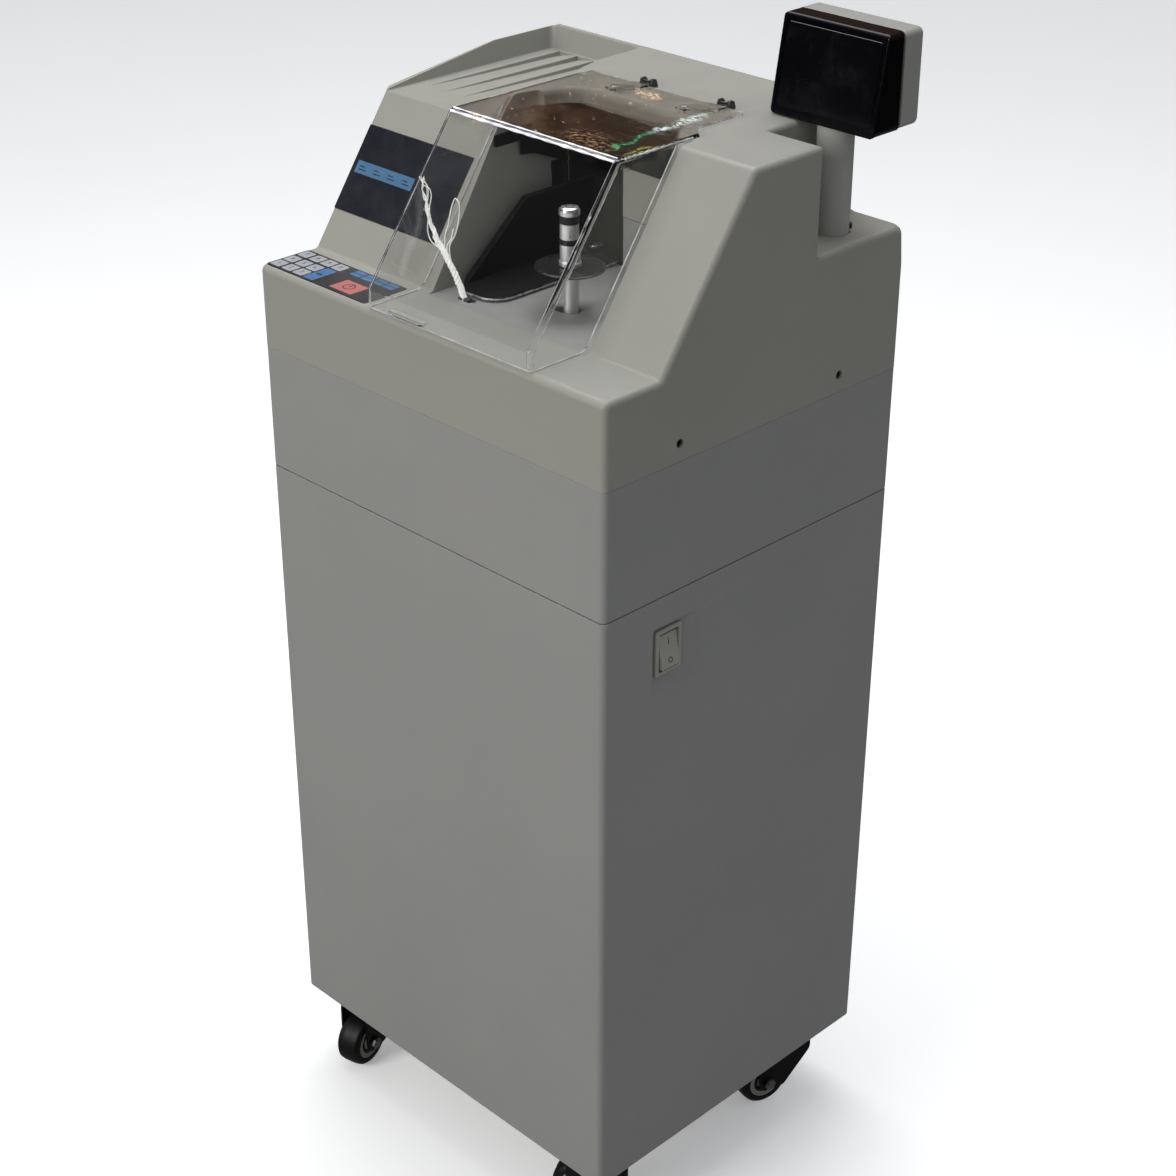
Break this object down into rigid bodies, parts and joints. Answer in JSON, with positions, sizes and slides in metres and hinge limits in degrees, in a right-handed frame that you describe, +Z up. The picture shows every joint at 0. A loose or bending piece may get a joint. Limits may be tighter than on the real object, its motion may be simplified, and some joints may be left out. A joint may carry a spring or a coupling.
{
  "type": "banknote counting machine",
  "caption": "Floor-standing banknote counter: wheeled cabinet, sloping top with keypad and display window, hinged clear cover over a suction spindle and bundle holder, display head on a pole.",
  "frame": {"origin": "on the floor, under the middle of the whole outline; the cabinet's own middle lies 11.25 mm to -X because the display head overhangs the right side", "axes": "+Z up; -Y is the front, where the operator stands; +X is the machine's right hand side seen from the front"},
  "size_m": [0.4724, 0.389, 1.1702],
  "materials": {
    "cabinet_paint": "satin powder coat with fine orange peel",
    "cover_plastic": "fine-grained warm grey moulding",
    "deck_steel": "fine brushed sheet",
    "black_plastic": "semi-matt black moulding",
    "gloss_black": "polished black",
    "display_film": "smoked blue-black film",
    "keypad_film": "printed film, black with pale, blue and red keys",
    "clear_acrylic": "clear acrylic with polished edges",
    "display_grey": "light grey moulding",
    "switch_ivory": "satin ivory",
    "steel": "bright turned steel",
    "aluminium": "fine turned aluminium",
    "chrome": "polished",
    "rubber_black": "matt",
    "tyre_black": "polished black tread",
    "hub_grey": "warm grey nylon with black centre",
    "fork_black": "black paint",
    "zinc": "zinc plated",
    "pump_paint": "grey machine paint",
    "board_green": "coated board",
    "cotton": "twisted cotton strand",
    "pole_paint": "light grey satin paint"
  },
  "bodies": {
    "cabinet": {"lower_cabinet": "cabinet_paint", "mid_band": "cabinet_paint", "upper_cover": "cover_plastic", "keypad_overlay": "keypad_film", "display_window": "display_film", "deck_plate": "deck_steel", "well_recess": "black_plastic", "interlock_bracket": "black_plastic", "clamp_pin": "steel", "mechanism_shelf": "zinc", "drive_motor": "pump_paint", "drive_belt": "rubber_black", "suction_hose": "rubber_black", "vacuum_pump": "pump_paint", "power_supply": "zinc", "dust_filter": "pump_paint", "control_board": "board_green", "side_screw_front": "zinc", "side_screw_rear": "zinc", "switch_bezel": "switch_ivory", "cover_hinge_left": "black_plastic", "cover_hinge_right": "black_plastic", "display_pole": "pole_paint", "pole_screw": "zinc", "transit_cord": "cotton"},
    "cover": {"clear_cover": "clear_acrylic", "cover_leaf_left": "steel", "cover_leaf_right": "steel"},
    "spindle": {"spindle_column": "aluminium", "spindle_band_lower": "rubber_black", "spindle_band_upper": "rubber_black", "spindle_cap": "chrome", "spindle_disc": "black_plastic", "spindle_pulley": "black_plastic"},
    "motor_rotor": {"motor_pulley": "black_plastic"},
    "holder": {"bundle_holder": "black_plastic", "holder_edge_strip": "steel", "holder_shaft": "steel"},
    "rocker": {"switch_rocker": "switch_ivory"},
    "display": {"display_rear_housing": "display_grey", "display_front_housing": "gloss_black", "display_lens": "gloss_black"},
    "door": {"rear_door": "cabinet_paint"},
    "lock": {"door_lock": "steel"},
    "swivel_front_left": {"caster_fork_front_left": "fork_black", "caster_axle_front_left": "zinc"},
    "wheel_front_left": {"caster_tyre_front_left": "tyre_black", "caster_hub_front_left": "hub_grey"},
    "swivel_front_right": {"caster_fork_front_right": "fork_black", "caster_axle_front_right": "zinc"},
    "wheel_front_right": {"caster_tyre_front_right": "tyre_black", "caster_hub_front_right": "hub_grey"},
    "swivel_rear_left": {"caster_fork_rear_left": "fork_black", "caster_axle_rear_left": "zinc"},
    "wheel_rear_left": {"caster_tyre_rear_left": "tyre_black", "caster_hub_rear_left": "hub_grey"},
    "swivel_rear_right": {"caster_fork_rear_right": "fork_black", "caster_axle_rear_right": "zinc"},
    "wheel_rear_right": {"caster_tyre_rear_right": "tyre_black", "caster_hub_rear_right": "hub_grey"}
  },
  "joints": [
    {"name": "cover_hinge", "type": "hinge", "parent": "cabinet", "child": "cover", "pos_m": [0.03475, 0.089, 1.0873], "axis": [-1, 0, 0], "range_deg": [0, 88]},
    {"name": "spindle_spin", "type": "hinge", "parent": "cabinet", "child": "spindle", "pos_m": [0.04575, -0.0655, 0.967], "axis": [0, 0, 1], "continuous": true},
    {"name": "motor_spin", "type": "hinge", "parent": "cabinet", "child": "motor_rotor", "pos_m": [0.04575, 0.04, 0.879], "axis": [0, 0, 1], "continuous": true},
    {"name": "holder_swing", "type": "hinge", "parent": "cabinet", "child": "holder", "pos_m": [-0.03925, 0.05, 0.93], "axis": [0, 0, 1], "range_deg": [-1, 12]},
    {"name": "switch_rock", "type": "hinge", "parent": "cabinet", "child": "rocker", "pos_m": [0.20425, -0.1068, 0.6645], "axis": [0, 1, 0], "range_deg": [0, 14]},
    {"name": "display_swivel", "type": "hinge", "parent": "cabinet", "child": "display", "pos_m": [0.17675, 0.1295, 1.085], "axis": [0, 0, 1], "range_deg": [-45, 45]},
    {"name": "door_hinge", "type": "hinge", "parent": "cabinet", "child": "door", "pos_m": [-0.21525, 0.1915, 0.406], "axis": [0, 0, 1], "range_deg": [0, 100]},
    {"name": "lock_turn", "type": "hinge", "parent": "door", "child": "lock", "pos_m": [0.15875, 0.1915, 0.43], "axis": [0, 1, 0], "range_deg": [0, 90]},
    {"name": "caster_swivel_front_left", "type": "hinge", "parent": "cabinet", "child": "swivel_front_left", "pos_m": [-0.19325, -0.1334, 0.085], "axis": [0, 0, 1], "continuous": true},
    {"name": "wheel_spin_front_left", "type": "hinge", "parent": "swivel_front_left", "child": "wheel_front_left", "pos_m": [-0.18614, -0.16193, 0.029], "axis": [0.9703, 0.2419, 0], "continuous": true},
    {"name": "caster_swivel_front_right", "type": "hinge", "parent": "cabinet", "child": "swivel_front_right", "pos_m": [0.17075, -0.1334, 0.085], "axis": [0, 0, 1], "continuous": true},
    {"name": "wheel_spin_front_right", "type": "hinge", "parent": "swivel_front_right", "child": "wheel_front_right", "pos_m": [0.14479, -0.1472, 0.029], "axis": [0.4695, -0.8829, 0], "continuous": true},
    {"name": "caster_swivel_rear_left", "type": "hinge", "parent": "cabinet", "child": "swivel_rear_left", "pos_m": [-0.19325, 0.1334, 0.085], "axis": [0, 0, 1], "continuous": true},
    {"name": "wheel_spin_rear_left", "type": "hinge", "parent": "swivel_rear_left", "child": "wheel_rear_left", "pos_m": [-0.18916, 0.10429, 0.029], "axis": [0.9903, 0.1392, 0], "continuous": true},
    {"name": "caster_swivel_rear_right", "type": "hinge", "parent": "cabinet", "child": "swivel_rear_right", "pos_m": [0.17075, 0.1334, 0.085], "axis": [0, 0, 1], "continuous": true},
    {"name": "wheel_spin_rear_right", "type": "hinge", "parent": "swivel_rear_right", "child": "wheel_rear_right", "pos_m": [0.16364, 0.10487, 0.029], "axis": [0.9703, -0.2419, 0], "continuous": true}
  ],
  "couplings": [
    {"joint": "spindle_spin", "follows": "motor_spin", "ratio": 0.5858}
  ]
}
